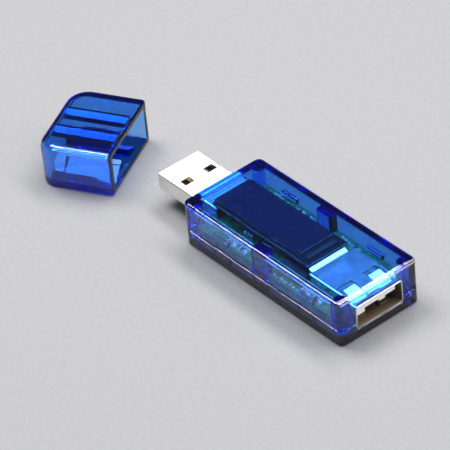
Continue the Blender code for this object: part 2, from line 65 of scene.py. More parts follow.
def aimed(obj, place, back, turn=0.0):
    """Puts obj at place with its own Z along back, and its X level and then turned about back."""
    back = back / np.linalg.norm(back)
    level = np.cross([0.0, 0.0, 1.0], back)
    level /= np.linalg.norm(level)
    up = np.cross(back, level)
    side = math.cos(turn) * level + math.sin(turn) * up
    matrix = np.eye(4)
    matrix[:3, :3] = np.column_stack([side, np.cross(back, side), back])
    matrix[:3, 3] = place * mm
    obj.matrix_world = Matrix(matrix)
    bpy.context.collection.objects.link(obj)


def soft_box(name, direction, distance, size, watts):
    """A rectangular lamp at that distance from the meter, facing it."""
    lamp = bpy.data.lights.new(name, "AREA")
    lamp.shape = "RECTANGLE"
    lamp.size = size[0] * mm
    lamp.size_y = size[1] * mm
    lamp.energy = watts
    direction = np.array(direction)
    direction = direction / np.linalg.norm(direction)
    aimed(bpy.data.objects.new(name, lamp), view_centre + direction * distance, direction)


eye = bpy.data.cameras.new("eye")
eye.lens = view_lens
eye.sensor_width = sensor_width
eye.clip_start = 0.01
eye.clip_end = 10.0
eye_object = bpy.data.objects.new("eye", eye)
view_back = np.array([math.sin(view_azimuth) * math.cos(view_elevation),
                      -math.cos(view_azimuth) * math.cos(view_elevation), math.sin(view_elevation)])
aimed(eye_object, view_centre + view_back * view_distance, view_back, view_roll)
bpy.context.scene.camera = eye_object

soft_box("overhead", (0.12, 0.10, 0.98), 650, (560, 420), 3.4)
soft_box("left_box", (-0.47, -0.08, 0.88), 600, (320, 300), 7.0)
soft_box("far_strip", (0.06, 0.48, 0.875), 620, (740, 150), 7.0)
soft_box("back_box", (0.75, 0.50, 0.38), 700, (300, 300), 2.3)
soft_box("right_fill", (0.75, -0.45, 0.48), 800, (420, 420), 1.2)
world = bpy.data.worlds.new("studio")
world.use_nodes = True
world.node_tree.nodes["Background"].inputs["Color"].default_value = (0.86, 0.90, 1.0, 1.0)
world.node_tree.nodes["Background"].inputs["Strength"].default_value = 0.09
bpy.context.scene.world = world
bpy.context.scene.view_settings.view_transform = "Standard"


def finish(name, colour, roughness, metallic=0.0, **sockets):
    """A new finish; its plain numbers are set on the shader's own sockets."""
    made = bpy.data.materials.new(name)
    made.use_nodes = True
    shader = made.node_tree.nodes["Principled BSDF"]
    shader.inputs["Base Color"].default_value = (*colour, 1.0)
    shader.inputs["Roughness"].default_value = roughness
    shader.inputs["Metallic"].default_value = metallic
    for socket, value in sockets.items():
        shader.inputs[socket.replace("_", " ")].default_value = value
    return made


def pattern(made, kind, scale, stretch=(1.0, 1.0, 1.0), **sockets):
    """A texture on the piece's own coordinates; scale is in turns per metre, times stretch by axis."""
    tree = made.node_tree
    place = tree.nodes.new("ShaderNodeTexCoord")
    spread = tree.nodes.new("ShaderNodeMapping")
    spread.inputs["Scale"].default_value = stretch
    texture = tree.nodes.new(kind)
    texture.inputs["Scale"].default_value = scale
    for socket, value in sockets.items():
        texture.inputs[socket.replace("_", " ")].default_value = value
    tree.links.new(place.outputs["Object"], spread.inputs["Vector"])
    tree.links.new(spread.outputs["Vector"], texture.inputs["Vector"])
    return texture


def graded(made, source, stops, socket=None):
    """Turns a value into the colours of the stops, and feeds them to the shader's socket if one is named."""
    tree = made.node_tree
    ramp = tree.nodes.new("ShaderNodeValToRGB")
    while len(ramp.color_ramp.elements) < len(stops):
        ramp.color_ramp.elements.new(0.5)
    for element, (place, colour) in zip(ramp.color_ramp.elements, stops):
        element.position = place
        shade = (colour, colour, colour) if isinstance(colour, float) else colour
        element.color = (*shade, 1.0)
    tree.links.new(source, ramp.inputs["Fac"])
    if socket:
        tree.links.new(ramp.outputs["Color"], tree.nodes["Principled BSDF"].inputs[socket])
    return ramp.outputs["Color"]


def relief(made, source, depth):
    """Raises the surface by up to depth millimetres where source is high."""
    tree = made.node_tree
    bump = tree.nodes.new("ShaderNodeBump")
    bump.inputs["Distance"].default_value = depth * mm
    tree.links.new(source, bump.inputs["Height"])
    tree.links.new(bump.outputs["Normal"], tree.nodes["Principled BSDF"].inputs["Normal"])


table_paint = finish("pale_table", (0.135, 0.135, 0.139), 0.7)
table_grain = pattern(table_paint, "ShaderNodeTexNoise", 900.0, Detail=4.0)
graded(table_paint, table_grain.outputs["Fac"], [(0.3, (0.128, 0.128, 0.132)), (0.7, (0.142, 0.142, 0.146))],
       "Base Color")
relief(table_paint, table_grain.outputs["Fac"], 0.01)
table_mesh = bpy.data.meshes.new("table")
table_corners = np.array([(-1, -1, 0), (1, -1, 0), (1, 1, 0), (-1, 1, 0)]) * floor_half * mm
table_corners[:, 2] = -floor_drop * mm
table_mesh.from_pydata(table_corners.tolist(), [], [(0, 1, 2, 3)])
table_mesh.materials.append(table_paint)
table = bpy.data.objects.new("table", table_mesh)
bpy.context.collection.objects.link(table)


# The lower half of the casing: one moulding in clear blue polycarbonate, with a post in each corner
# that takes a peg of the upper half, a pillar at the middle of each long wall, rests under the board
# and cradles under both connectors. It is glued to the upper half along the seam.
corner_radius = 1.5
edge_fillet = 0.5
seam_gap = 0.06
groove_depth = 0.3
groove_fall = 0.14
groove_rise = 0.3
side_wall = 1.3
end_wall = 1.5
floor_thickness = 1.3
inner_round = 0.35
post_radius = 1.5
post_inset = 2.2
peg_radius = 0.8
peg_slack = 0.06
peg_length = 2.0
pillar_start, pillar_end = -3.4, 1.4
pillar_depth = 2.0
pillar_radius = 0.6
ledge_middle = 13.9
ledge_half = 2.5
ledge_depth = 0.7
opening_slack = 0.12
opening_flare = 0.3
sink = 0.4
hold = 0.03


def span(node):
    """A node's reach in millimetres: x0, x1, y0, y1, z0, z1."""
    low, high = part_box(node)
    return [value / mm for pair in zip(low, high) for value in pair]


def round_outline(x0, x1, y0, y1, radius, steps=8):
    """Points round a rectangle, anticlockwise from its low-low corner. A corner is its arc's centre plus
    radius times (cos, sin) over a quarter turn, with one point close to each end of the arc on the
    straight sides, which keeps the shading of the sides flat."""
    radii = np.broadcast_to(np.maximum(radius, 0.01), 4)[:, None, None]
    signs = np.array([(-1, -1), (1, -1), (1, 1), (-1, 1)])[:, None, :]
    corners = np.array([(x0, y0), (x1, y0), (x1, y1), (x0, y1)])[:, None, :]
    turns = np.linspace(0, math.pi / 2, steps + 1) + np.array([2, 3, 0, 1])[:, None] * math.pi / 2
    arcs = corners - signs * radii + radii * np.stack([np.cos(turns), np.sin(turns)], axis=2)
    along = np.stack([-np.sin(turns), np.cos(turns)], axis=2) * hold
    points = np.concatenate([arcs[:, :1] - along[:, :1], arcs, arcs[:, -1:] + along[:, -1:]], axis=1)
    return points.reshape(-1, 2)


def fillet_rows(z0, z1, low, high, steps=6):
    """Heights from z0 to z1, with how far the outline is drawn in at each: radius times (1 - sin) of a
    quarter turn at the lower edge and radius times (1 - cos) at the upper one, and a row close to each
    end of a fillet, which keeps the flat faces flat."""
    turn = np.linspace(0, math.pi / 2, steps + 1)
    rows = [[z0], [0.0]]
    if low:
        rows = [[z0, *(z0 + low * (1 - np.cos(turn))), z0 + low + hold],
                [low + hold, *(low * (1 - np.sin(turn))), 0.0]]
    if high:
        rows[0] += [z1 - high - hold, *(z1 - high * (1 - np.sin(turn))), z1]
        rows[1] += [0.0, *(high * (1 - np.cos(turn))), high + hold]
    else:
        rows[0].append(z1)
        rows[1].append(0.0)
    return np.array(rows).T


def closed_solid(rings):
    """A closed shape through rings, an array of rows by points by 3: quads between one ring and the
    next, and one flat face on the first and on the last."""
    rows, count = rings.shape[:2]
    index = np.arange(rows * count).reshape(rows, count)
    quads = np.stack([index[:-1], np.roll(index[:-1], -1, 1), np.roll(index[1:], -1, 1), index[1:]], axis=-1)
    return rings.reshape(-1, 3), quads.reshape(-1, 4), np.stack([index[0, ::-1], index[-1]])


def stacked_block(x0, x1, y0, y1, corner, rows):
    """A block whose outline is drawn in by the inset of each row, (height, inset)."""
    rings = []
    for height, inset in rows:
        outline = round_outline(x0 + inset, x1 - inset, y0 + inset, y1 - inset, np.array(corner) - inset)
        rings.append(np.column_stack([outline, np.full(len(outline), height)]))
    return closed_solid(np.array(rings))


def upright_block(x0, x1, y0, y1, z0, z1, corner=0.1, low=0.0, high=0.0):
    """A block with round upright edges, and a fillet round its lower and its upper face."""
    return stacked_block(x0, x1, y0, y1, corner, fillet_rows(z0, z1, low, high))


def lying_block(x0, x1, y0, y1, z0, z1, corner=0.1, low=0.0, high=0.0):
    """The same block laid along X: its rounded outline is its section across the meter."""
    points, quads, ends = upright_block(y0, y1, z0, z1, x0, x1, corner, low, high)
    return points[:, [2, 0, 1]], quads, ends


def rod(x, y, radius, z0, z1, low=0.0, high=0.0):
    """An upright round rod: (radius - inset) times (cos, sin) of a full turn, carried up the rows."""
    turn = np.linspace(0, 2 * math.pi, 40, endpoint=False)
    rows = fillet_rows(z0, z1, low, high)
    reach = (radius - rows[:, 1])[:, None]
    rings = np.stack([x + reach * np.cos(turn), y + reach * np.sin(turn),
                      np.repeat(rows[:, :1], len(turn), 1)], axis=-1)
    return closed_solid(rings)


def new_piece(name, solids, *finishes, shares=None):
    """A piece of closed solids, given in millimetres; shares says how many solids take each finish.
    Its faces are turned outwards, and edges of more than 30 degrees stay sharp."""
    mesh = bpy.data.meshes.new(name)
    starts = np.cumsum([0] + [len(points) for points, quads, ends in solids])
    faces = []
    counts = []
    for start, (points, quads, ends) in zip(starts, solids):
        faces += (quads + start).tolist() + (ends + start).tolist()
        counts.append(len(quads) + len(ends))
    mesh.from_pydata(np.concatenate([solid[0] for solid in solids]) * mm, [], faces)
    for made in finishes:
        mesh.materials.append(made)
    if shares:
        of_solid = np.repeat(np.arange(len(shares)), shares)
        mesh.polygons.foreach_set("material_index", np.repeat(of_solid, counts))
    piece = bpy.data.objects.new(name, mesh)
    bpy.context.collection.objects.link(piece)
    bpy.context.view_layer.objects.active = piece
    smoothed(piece)
    return piece


def smoothed(piece):
    """Turns a piece's faces outwards and shades it smooth up to its sharp edges."""
    working = bmesh.new()
    working.from_mesh(piece.data)
    bmesh.ops.recalc_face_normals(working, faces=working.faces)
    working.to_mesh(piece.data)
    working.free()
    piece.data.shade_smooth()
    piece.data.set_sharp_from_angle(angle=math.radians(30))


def carve(piece, operation, solids):
    """Joins solids to a piece (UNION) or cuts them out of it (DIFFERENCE), and keeps the result. It
    stops if nothing of the piece is left."""
    for solid in solids:
        tool = new_piece("tool", [solid], *piece.data.materials)
        modifier = piece.modifiers.new("carve", "BOOLEAN")
        modifier.operation = operation
        modifier.solver = "EXACT"
        modifier.object = tool
        view = bpy.context.evaluated_depsgraph_get()
        shape = bpy.data.meshes.new_from_object(piece.evaluated_get(view), depsgraph=view)
        piece.modifiers.clear()
        assert len(shape.polygons), piece.name + " is empty after a cut"
        piece.data = shape
        bpy.data.objects.remove(tool)
    smoothed(piece)
    piece.data.name = piece.name


def settle(piece, body, slot, *nodes):
    """The piece rides on the body and stands for the nodes; the slot is not used."""
    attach(piece, body)
    if nodes:
        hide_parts(*nodes)


def clear_blue(name):
    """Polished clear blue polycarbonate: light is taken up by its length of way through the plastic,
    red first, and the surface has the faint ripple and the hairlines of a moulding."""
    made = finish(name, (0.92, 0.96, 1.0), 0.03, IOR=1.585, Transmission_Weight=1.0)
    tree = made.node_tree
    depth = tree.nodes.new("ShaderNodeVolumeAbsorption")
    depth.inputs["Color"].default_value = (0.10, 0.60, 0.983, 1.0)
    depth.inputs["Density"].default_value = 1000.0
    tree.links.new(depth.outputs["Volume"], tree.nodes["Material Output"].inputs["Volume"])
    haze = pattern(made, "ShaderNodeTexNoise", 260.0, Detail=5.0, Roughness=0.6)
    graded(made, haze.outputs["Fac"], [(0.35, 0.0), (0.75, 0.03)], "Roughness")
    ripple = pattern(made, "ShaderNodeTexNoise", 170.0, Detail=2.0)
    relief(made, ripple.outputs["Fac"], 0.006)
    return made


case_x, case_y = span("top_shell")[1], span("top_shell")[3]
case_top = span("top_shell")[5]
seam = span("bottom_shell")[5] + 0.15
inner_y = case_y - side_wall
board_z0, board_z1 = span("circuit_board")[4:]
plug_span = span("plug_shell")
socket_span = span("socket_shell")
post_places = [(sx * (case_x - post_inset), sy * (case_y - post_inset)) for sx in (-1, 1) for sy in (-1, 1)]


def from_wall(sy, depth):
    """The reach in Y of what stands out by depth from the long wall on that side, and is sunk into it."""
    return sorted((sy * (inner_y - depth), sy * (inner_y + sink)))


def pillars(z0, z1):
    """The two pillars on the long walls, rounded where they stand into the casing."""
    return [upright_block(pillar_start, pillar_end, *from_wall(sy, pillar_depth), z0, z1, pillar_radius)
            for sy in (-1, 1)]


def ledges(z0, z1):
    """The four ledges on the long walls, with soft edges."""
    return [upright_block(sx * ledge_middle - ledge_half, sx * ledge_middle + ledge_half,
                          *from_wall(sy, ledge_depth), z0, z1, 0.15, 0.1, 0.35)
            for sx in (-1, 1) for sy in (-1, 1)]


def end_openings():
    """The cutters of both end openings: a rounded section a little wider than the connector, which
    flares by a quarter circle where it leaves the wall."""
    turn = np.linspace(0, math.pi / 2, 7)
    slack = opening_slack
    cutters = []
    for sign, (x0, x1, y0, y1, z0, z1), corner in ((-1, plug_span, 0.7), (1, socket_span, 0.6)):
        rows = np.concatenate([[(case_x - end_wall - 0.3, 0.0), (case_x - opening_flare - hold, 0.0)],
                               np.column_stack([case_x - opening_flare * (1 - np.sin(turn)),
                                                -opening_flare * (1 - np.cos(turn))]),
                               [(case_x + 1.0, -opening_flare)]])
        points, quads, ends = stacked_block(y0 - slack, y1 + slack, z0 - slack, z1 + slack, corner, rows)
        points = points[:, [2, 0, 1]] * [sign, 1, 1]
        cutters.append((points, quads, ends))
    return cutters


casing_plastic = clear_blue("clear_blue_casing")
lower_top = seam - seam_gap / 2
lower_rows = np.concatenate([fillet_rows(0.0, lower_top - groove_fall, edge_fillet, 0.0),
                             [(lower_top - 0.01, groove_depth - 0.02), (lower_top, groove_depth + hold)]])
lower_half = new_piece("casing_lower_half",
                       [stacked_block(-case_x, case_x, -case_y, case_y, corner_radius, lower_rows)],
                       casing_plastic)
carve(lower_half, "DIFFERENCE", [upright_block(-case_x + end_wall, case_x - end_wall, -inner_y, inner_y,
                                               floor_thickness, seam + 2, 1.2, inner_round)])
foot = floor_thickness - sink
cradle_half = 0.5
under_socket, under_plug = socket_span[4] - 0.1, plug_span[4] - 0.1
cradle_places = ((13.35, 5.55, under_socket), (23.15, 5.55, under_socket), (-22.05, 4.0, under_plug))
cradles = [upright_block(x - cradle_half, x + cradle_half, -half, half, foot, top, 0.12, 0.0, 0.12)
           for x, half, top in cradle_places]
carve(lower_half, "UNION", [rod(x, y, post_radius, foot, lower_top) for x, y in post_places]
      + pillars(foot, lower_top) + ledges(foot, board_z0 - 0.1) + cradles)
carve(lower_half, "DIFFERENCE", [rod(x, y, peg_radius + peg_slack, seam - peg_length - 0.2, seam + 1)
                                 for x, y in post_places] + end_openings())
settle(lower_half, "meter", "casing_blue", "bottom_shell")


# The circuit board: glass laminate under green solder mask, with tinned pads, plated holes and thin
# white printed outlines on its top. The mask shows the copper tracks under it as paler lines, and the
# sawn edge shows the bare laminate.
def sided(made, top, side):
    """Mixes the colour for faces that look up or down with the one for upright faces."""
    tree = made.node_tree
    faces = tree.nodes.new("ShaderNodeNewGeometry")
    split = tree.nodes.new("ShaderNodeSeparateXYZ")
    flat = tree.nodes.new("ShaderNodeMath")
    flat.operation = "ABSOLUTE"
    mix = tree.nodes.new("ShaderNodeMix")
    mix.data_type = "RGBA"
    tree.links.new(faces.outputs["Normal"], split.inputs[0])
    tree.links.new(split.outputs["Z"], flat.inputs[0])
    tree.links.new(flat.outputs[0], mix.inputs["Factor"])
    tree.links.new(side, mix.inputs["A"])
    tree.links.new(top, mix.inputs["B"])
    tree.links.new(mix.outputs["Result"], tree.nodes["Principled BSDF"].inputs["Base Color"])


mask = finish("green_mask", (0.02, 0.30, 0.17), 0.25, Coat_Weight=0.4)
tracks = pattern(mask, "ShaderNodeTexBrick", 420.0, (1.0, 2.2, 0.0), Mortar_Size=0.012, Bias=-0.6)
mask_cloud = pattern(mask, "ShaderNodeTexNoise", 500.0, Detail=3.0)
weave = pattern(mask, "ShaderNodeTexWave", 1400.0, (0.0, 0.0, 1.0), Distortion=2.0, Detail=2.0)
mask_top = graded(mask, tracks.outputs["Fac"], [(0.0, (0.02, 0.36, 0.12)), (1.0, (0.08, 0.58, 0.20))])
mask_side = graded(mask, weave.outputs["Fac"], [(0.2, (0.12, 0.58, 0.20)), (0.8, (0.34, 0.74, 0.36))])
sided(mask, mask_top, mask_side)
graded(mask, mask_cloud.outputs["Fac"], [(0.3, 0.18), (0.7, 0.34)], "Roughness")
relief(mask, tracks.outputs["Fac"], 0.03)
board_node = frame["nodes"]["circuit_board"]
board_node.data.materials.clear()
board_node.data.materials.append(mask)

solder = finish("tin_solder", (0.80, 0.80, 0.78), 0.22, 1.0)
solder_cloud = pattern(solder, "ShaderNodeTexNoise", 2600.0, Detail=3.0)
graded(solder, solder_cloud.outputs["Fac"], [(0.3, 0.14), (0.7, 0.36)], "Roughness")
graded(solder, solder_cloud.outputs["Fac"], [(0.3, (0.70, 0.70, 0.69)), (0.7, (0.88, 0.88, 0.86))],
       "Base Color")
relief(solder, solder_cloud.outputs["Fac"], 0.02)
pad_top = board_z1 + 0.06
small_parts = ["capacitor_%d" % n for n in (1, 2, 3, 4)] + ["resistor_%d" % n for n in (1, 2, 3, 4)]
pads = []
for node in small_parts + ["diode"]:
    x0, x1, y0, y1 = span(node)[:4]
    for end in (x0, x1):
        pads.append(upright_block(end - 0.45, end + 0.45, y0 - 0.1, y1 + 0.1, board_z1 - 0.05, pad_top,
                                  0.12, 0.0, 0.03))
chip_legs = (("controller_chip", 7, 7, 1.27), ("voltage_regulator", 3, 2, 0.95))
for node, near_legs, far_legs, pitch in chip_legs:
    x0, x1, y0, y1 = span(node)[:4]
    for y, count in ((y0, near_legs), (y1, far_legs)):
        for leg in range(count):
            x = (x0 + x1) / 2 + (leg - (count - 1) / 2) * pitch
            pads.append(upright_block(x - 0.3, x + 0.3, y - 0.35, y + 0.35, board_z1 - 0.05, pad_top,
                                      0.1, 0.0, 0.03))
hole_rows = [(x, y) for x in np.arange(-19.5, 20.0, 3.0) for y in (-8.2, 8.3) if abs(x + 1) > 3.4 and x < 9]
pads += [rod(x, y, 0.32, board_z1 - 0.05, pad_top, 0.0, 0.03) for x, y in hole_rows]
pads += [rod(-20.0 + 1.15 * n, 6.9, 0.42, board_z1 - 0.05, pad_top + 0.06, 0.0, 0.05) for n in (0, 1)]
board_pads = new_piece("board_pads", pads, solder)
settle(board_pads, "meter", "plated_steel")

ink = finish("white_ink", (0.86, 0.87, 0.84), 0.6)
ink_grain = pattern(ink, "ShaderNodeTexNoise", 5200.0, Detail=2.0)
graded(ink, ink_grain.outputs["Fac"], [(0.3, (0.72, 0.74, 0.71)), (0.6, (0.90, 0.91, 0.88))], "Base Color")
lines = []
for node in small_parts + ["diode", "crystal"]:
    x0, x1, y0, y1 = span(node)[:4]
    for y in (y0 - 0.32, y1 + 0.32):
        lines.append(upright_block(x0 - 0.6, x1 + 0.6, y - 0.06, y + 0.06, board_z1 - 0.02, board_z1 + 0.02,
                                   0.05))
lines.append(upright_block(-20.5, -17.3, 8.05, 8.17, board_z1 - 0.02, board_z1 + 0.02, 0.05))
board_print = new_piece("board_print", lines, ink)
settle(board_print, "meter", "white_plastic")


# The chips: black epoxy bodies moulded round tinned legs, which bend down and lie on their pads. The
# measuring chip has seven legs a side and a round mark at its first leg.
epoxy = finish("black_epoxy", (0.022, 0.022, 0.024), 0.5)
epoxy_grain = pattern(epoxy, "ShaderNodeTexNoise", 6500.0, Detail=3.0)
graded(epoxy, epoxy_grain.outputs["Fac"], [(0.3, (0.014, 0.014, 0.016)), (0.7, (0.036, 0.036, 0.038))],
       "Base Color")
relief(epoxy, epoxy_grain.outputs["Fac"], 0.01)


def bent_sheet(path, thickness, w0, w1, across="y"):
    """A strip of sheet: half its thickness to each side of the path, (run, height), along the path's
    normals, carried from w0 to w1 along Y, or along X with the path's run along Y."""
    slope = np.gradient(path, axis=0)
    slope /= np.linalg.norm(slope, axis=1)[:, None]
    normal = np.column_stack([-slope[:, 1], slope[:, 0]]) * thickness / 2
    outline = np.concatenate([path + normal, (path - normal)[::-1]])
    rings = []
    for width in (w0, w1):
        side = np.full(len(outline), width)
        columns = [outline[:, 0], side, outline[:, 1]]
        if across == "x":
            columns = [side, outline[:, 0], outline[:, 1]]
        rings.append(np.column_stack(columns))
    return closed_solid(np.array(rings))


def eased(start, end, value):
    """0 before start, 1 after end, and 3 t t - 2 t t t between them."""
    t = np.clip((value - start) / (end - start), 0, 1)
    return t * t * (3 - 2 * t)


def legged_chip(name, node, legs_near, legs_far, pitch, mark):
    """A chip with a drafted body and legs that run out, ease down and lie flat."""
    x0, x1, y0, y1, z0, z1 = span(node)
    body_y0, body_y1 = y0 + 1.0, y1 - 1.0
    middle = (z0 + 0.1 + z1) / 2
    rows = [(z0 + 0.15, 0.16), (middle - 0.02, 0.0), (middle + 0.02, 0.0), (z1 - 0.05, 0.12), (z1, 0.16)]
    body = stacked_block(x0, x1, body_y0, body_y1, 0.12, rows)
    legs = []
    run = np.linspace(0, 1.3, 18)
    height = middle + (z0 + 0.02 - middle) * eased(0.45, 0.95, run)
    for side, edge, count in ((-1, body_y0, legs_near), (1, body_y1, legs_far)):
        path = np.column_stack([edge + side * (run - 0.3), height])
        for leg in range(count):
            x = (x0 + x1) / 2 + (leg - (count - 1) / 2) * pitch
            legs.append(bent_sheet(path, 0.2, x - 0.21, x + 0.21, "x"))
    chip = new_piece(name, [body] + legs, epoxy, solder, shares=[1, len(legs)])
    if mark:
        carve(chip, "DIFFERENCE", [rod(x0 + 0.9, body_y0 + 0.9, 0.4, z1 - 0.06, z1 + 1)])
    settle(chip, "meter", "chip_black", node)


legged_chip("measuring_chip", *chip_legs[0], True)
legged_chip("supply_regulator", *chip_legs[1], False)


# The small parts in rows along the board's edges: ceramic bodies with dipped tin ends, each end in its
# own bead of solder. The resistors have a black glaze on top, and the diode is moulded.
ceramic = finish("tan_ceramic_body", (0.50, 0.38, 0.25), 0.45)
ceramic_grain = pattern(ceramic, "ShaderNodeTexNoise", 4200.0, Detail=3.0)
graded(ceramic, ceramic_grain.outputs["Fac"], [(0.3, (0.42, 0.31, 0.20)), (0.7, (0.58, 0.45, 0.31))],
       "Base Color")
dipped_end = 0.34
for node in small_parts + ["diode"]:
    x0, x1, y0, y1, z0, z1 = span(node)
    z0 = board_z1 + 0.04
    body = upright_block(x0 + 0.1, x1 - 0.1, y0 + 0.03, y1 - 0.03, z0, z1 - 0.02, 0.05, 0.04, 0.05)
    ends = [upright_block(a, a + dipped_end, y0, y1, z0 - 0.02, z1, 0.08, 0.04, 0.06)
            for a in (x0, x1 - dipped_end)]
    beads = [upright_block(a - 0.2, a + 0.2, y0 + 0.04, y1 - 0.04, z0 - 0.08, z0 + 0.28, 0.16, 0.0, 0.2)
             for a in (x0 - 0.08, x1 + 0.08)]
    dark = not node.startswith("capacitor")
    small = new_piece("fitted_" + node, [body] + ends + beads, epoxy if dark else ceramic, solder,
                      shares=[1, 4])
    settle(small, "meter", "chip_black" if dark else "tan_ceramic", node)


# The clock crystal in its seam welded can, and under the board the shunt: a plate of resistance alloy
# with two wide tinned ends, in black glaze.
def brushed_metal(name, colour, roughness, stretch, depth):
    """Plated sheet metal: fine lines along the way that it was rolled, and a slight cloud of haze."""
    made = finish(name, colour, roughness, 1.0)
    lines_of_rolling = pattern(made, "ShaderNodeTexNoise", 5200.0, stretch, Detail=3.0)
    haze = pattern(made, "ShaderNodeTexNoise", 420.0, Detail=4.0)
    dark = tuple(0.97 * value for value in colour)
    pale = tuple(min(1.0, 1.03 * value) for value in colour)
    graded(made, haze.outputs["Fac"], [(0.3, dark), (0.7, pale)], "Base Color")
    graded(made, haze.outputs["Fac"], [(0.3, roughness * 0.93), (0.7, roughness * 1.08)], "Roughness")
    relief(made, lines_of_rolling.outputs["Fac"], depth)
    return made


can_metal = brushed_metal("crystal_can", (0.74, 0.73, 0.70), 0.25, (0.05, 1.0, 1.0), 0.004)
x0, x1, y0, y1, z0, z1 = span("crystal")
crystal = new_piece("clock_crystal",
                    [upright_block(x0, x1, y0, y1, board_z1 + 0.02, z0 + 0.25, 0.2, 0.0, 0.05),
                     upright_block(x0 + 0.15, x1 - 0.15, y0 + 0.15, y1 - 0.15, z0 + 0.1, z1,
                                   0.35, 0.0, 0.15)],
                    ceramic, can_metal, shares=[1, 1])
settle(crystal, "meter", "plated_steel", "crystal")
x0, x1, y0, y1, z0, z1 = span("shunt_resistor")
shunt_end = 1.0
shunt_body = upright_block(x0 + 0.2, x1 - 0.2, y0 + 0.02, y1 - 0.02, z0 + 0.02, z1 - 0.02, 0.1, 0.06, 0.06)
shunt_ends = [upright_block(a, a + shunt_end, y0, y1, z0, board_z0 + 0.02, 0.12, 0.08, 0.0)
              for a in (x0, x1 - shunt_end)]
shunt = new_piece("shunt_plate", [shunt_body] + shunt_ends, epoxy, solder, shares=[1, 2])
settle(shunt, "meter", "chip_black", "shunt_resistor")


# The plug: a shell folded from nickel plated steel, with a seam along its underside and four windows
# that a port's springs snap into, round a black tongue that carries four gold plated contacts.
nickel = brushed_metal("satin_nickel", (0.86, 0.85, 0.82), 0.34, (0.03, 1.0, 1.0), 0.0012)
gold = finish("gold_plate", (0.90, 0.66, 0.28), 0.2, 1.0)
gold_haze = pattern(gold, "ShaderNodeTexNoise", 1500.0, (0.2, 1.0, 1.0), Detail=3.0)
graded(gold, gold_haze.outputs["Fac"], [(0.3, (0.80, 0.55, 0.20)), (0.7, (0.95, 0.72, 0.34))], "Base Color")
graded(gold, gold_haze.outputs["Fac"], [(0.3, 0.14), (0.7, 0.3)], "Roughness")


def moulded(name, dark, pale, roughness):
    """An opaque moulding with a fine spark eroded surface."""
    made = finish(name, pale, roughness)
    grain = pattern(made, "ShaderNodeTexNoise", 3800.0, Detail=3.0)
    cloud = pattern(made, "ShaderNodeTexNoise", 300.0, Detail=2.0)
    graded(made, cloud.outputs["Fac"], [(0.3, dark), (0.7, pale)], "Base Color")
    graded(made, grain.outputs["Fac"], [(0.3, roughness * 0.85), (0.7, roughness * 1.15)], "Roughness")
    relief(made, grain.outputs["Fac"], 0.006)
    return made


black_plastic = moulded("black_tongue", (0.014, 0.014, 0.016), (0.026, 0.026, 0.028), 0.45)
sheet = 0.3
x0, x1, y0, y1, z0, z1 = plug_span
plug_shell = new_piece("plug_sleeve", [lying_block(x0, x1, y0, y1, z0, z1, 0.6, 0.1, 0.05)], nickel)
bore_rows = [(x0 - 1, -0.12), (x0, -0.12), (x0 + 0.05, -0.05), (x0 + 0.15, 0.0), (x1 + 1, 0.0)]
points, quads, ends = stacked_block(y0 + sheet, y1 - sheet, z0 + sheet, z1 - sheet, 0.35, bore_rows)
carve(plug_shell, "DIFFERENCE", [(points[:, [2, 0, 1]], quads, ends)])
window_x, window_y = x0 + 7.0, 3.25
window_half_x, window_half_y = 1.0, 1.25
fold_half = 0.03
carve(plug_shell, "DIFFERENCE",
      [upright_block(window_x - window_half_x, window_x + window_half_x, sy * window_y - window_half_y,
                     sy * window_y + window_half_y, z0 - 1, z1 + 1, 0.15) for sy in (-1, 1)]
      + [upright_block(x0 - 1, x1 + 1, -fold_half, fold_half, z0 - 1, z0 + sheet + 0.1, 0.01)])
settle(plug_shell, "meter", "plated_steel", "plug_shell")
x0, x1, y0, y1, z0, z1 = span("plug_insulator")
plug_tongue = new_piece("plug_tongue", [upright_block(x0, x1, y0, y1, z0, board_z1, 0.15, 0.1, 0.1)],
                        black_plastic)
carve(plug_tongue, "UNION", [upright_block(x1 - 3.0, x1, y0, y1, z0, z1, 0.15, 0.1, 0.1)])
settle(plug_tongue, "meter", "black_plastic", "plug_insulator")
for number in (1, 2, 3, 4):
    x0, x1, y0, y1, z0, z1 = span("plug_contact_%d" % number)
    run = np.linspace(x0, x1, 40)
    middle = (z0 + z1) / 2
    dip = 0.12 * (1 - eased(x0, x0 + 0.5, run))
    contact = new_piece("plug_finger_%d" % number,
                        [bent_sheet(np.column_stack([run, middle - dip]), 0.2, y0, y1)], gold)
    settle(contact, "meter", "gold_plating", "plug_contact_%d" % number)


# The socket: a folded steel shell, bright outside, with two spring tabs bent into it above, two flatter
# ones below and a flange at its back. Its inner faces and its lower tabs are rougher, with painted shade: a
# darker, browner steel. It stands round a white tongue with four gold plated contacts on its lower face.
x0, x1, y0, y1, z0, z1 = socket_span
steel = brushed_metal("bright_steel", (0.80, 0.80, 0.79), 0.24, (0.03, 1.0, 1.0), 0.0015)
# Painted shade: a darker, browner, rougher steel for the socket's inner faces and its two lower tabs.
shade_painted_steel = brushed_metal("shade_painted_steel", (0.34, 0.27, 0.19), 0.45, (0.03, 1.0, 1.0), 0.002)
socket_shell = new_piece("socket_sleeve", [lying_block(x0, x1, y0, y1, z0, z1, 0.5, 0.05, 0.1)],
                         steel, shade_painted_steel)
carve(socket_shell, "DIFFERENCE",
      [lying_block(x0 - 1, x1 + 1, y0 + sheet, y1 - sheet, z0 + sheet, z1 - sheet, 0.25)])
tab_front = x1 - 2.2
tab_length = 4.8
tab_back = tab_front - tab_length
tab_half = 1.6
tab_slot = 0.4
tab_middle = 3.5
carve(socket_shell, "DIFFERENCE",
      [upright_block(tab_back, tab_front, sy * tab_middle - tab_half - tab_slot,
                     sy * tab_middle + tab_half + tab_slot, z0 - 1, z1 + 1, 0.1) for sy in (-1, 1)])
# The faces inside the sleeve take the painted shade steel.
middles = np.empty(3 * len(socket_shell.data.polygons))
socket_shell.data.polygons.foreach_get("center", middles)
middles = middles.reshape(-1, 3) / mm
inside = ((np.abs(middles[:, 1]) < y1 - sheet + 0.02) & (middles[:, 2] > z0 + sheet - 0.02)
          & (middles[:, 2] < z1 - sheet + 0.02) & (middles[:, 0] < x1 - 0.05))
